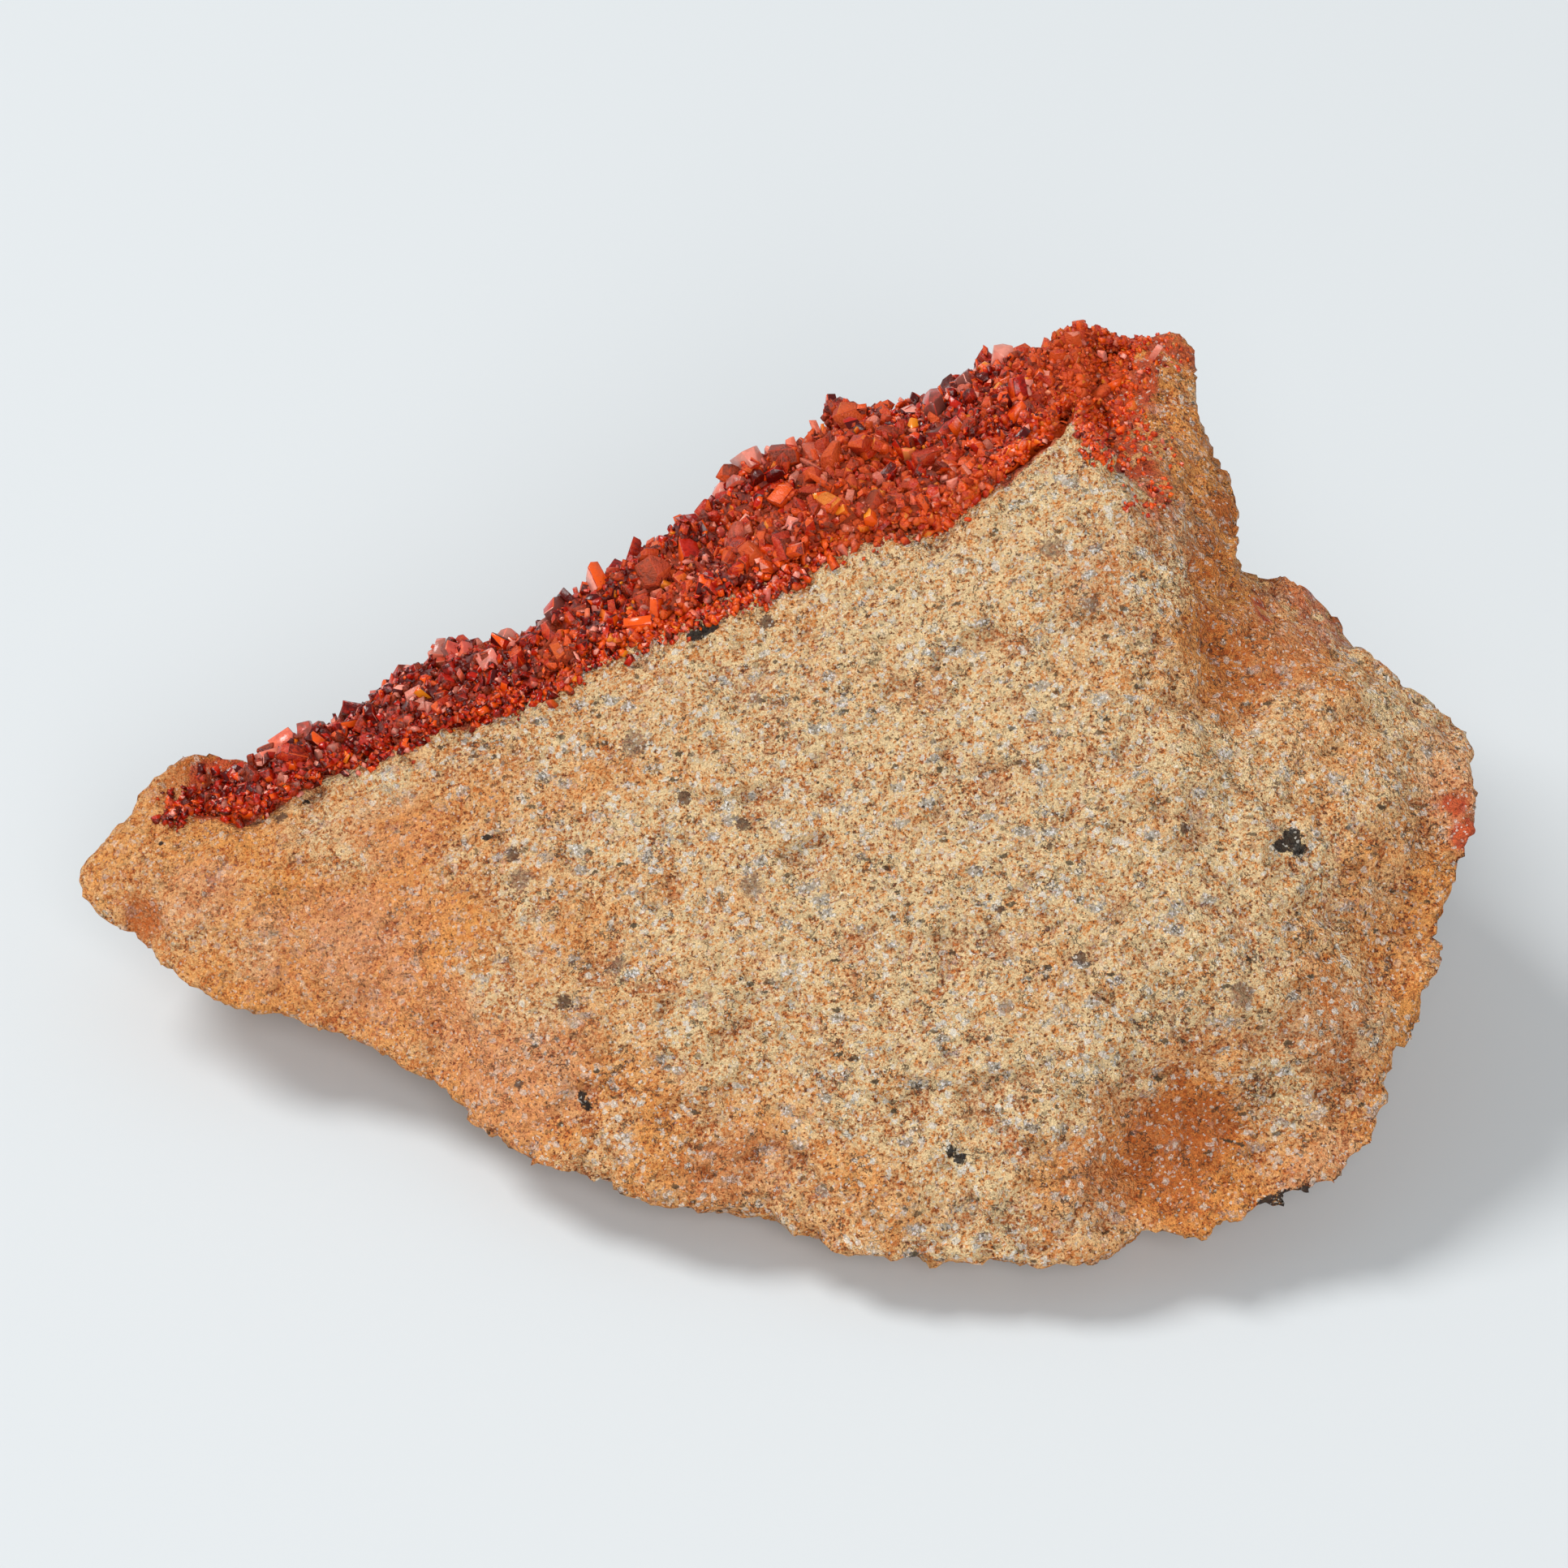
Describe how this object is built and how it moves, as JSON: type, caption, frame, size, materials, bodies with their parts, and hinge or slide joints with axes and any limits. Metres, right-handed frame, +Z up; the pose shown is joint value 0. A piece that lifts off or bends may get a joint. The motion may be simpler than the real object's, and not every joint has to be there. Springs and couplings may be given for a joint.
{
  "type": "crocoite specimen",
  "caption": "Natural mineral specimen: a sparkling red crocoite crystal crust on one broken face of a loose, wedge-shaped block of tan weathered rock.",
  "frame": {"origin": "centre of the bounding box, on the surface the block rests on", "axes": "+X runs along the block's length, from its thin tip to its blunt end; +Y points from the broken tan face towards the crust's side; +Z is up"},
  "size_m": [0.0892, 0.0674, 0.0382],
  "materials": {
    "matrix_rock": "rough broken rock, tan to orange-brown, with pale quartz, silvery mica and dark grains",
    "crocoite": "lustrous deep red to orange-red crystals with dusty orange patches"
  },
  "bodies": {
    "root": {"matrix": "matrix_rock", "crocoite_crust": "crocoite"}
  },
  "joints": []
}
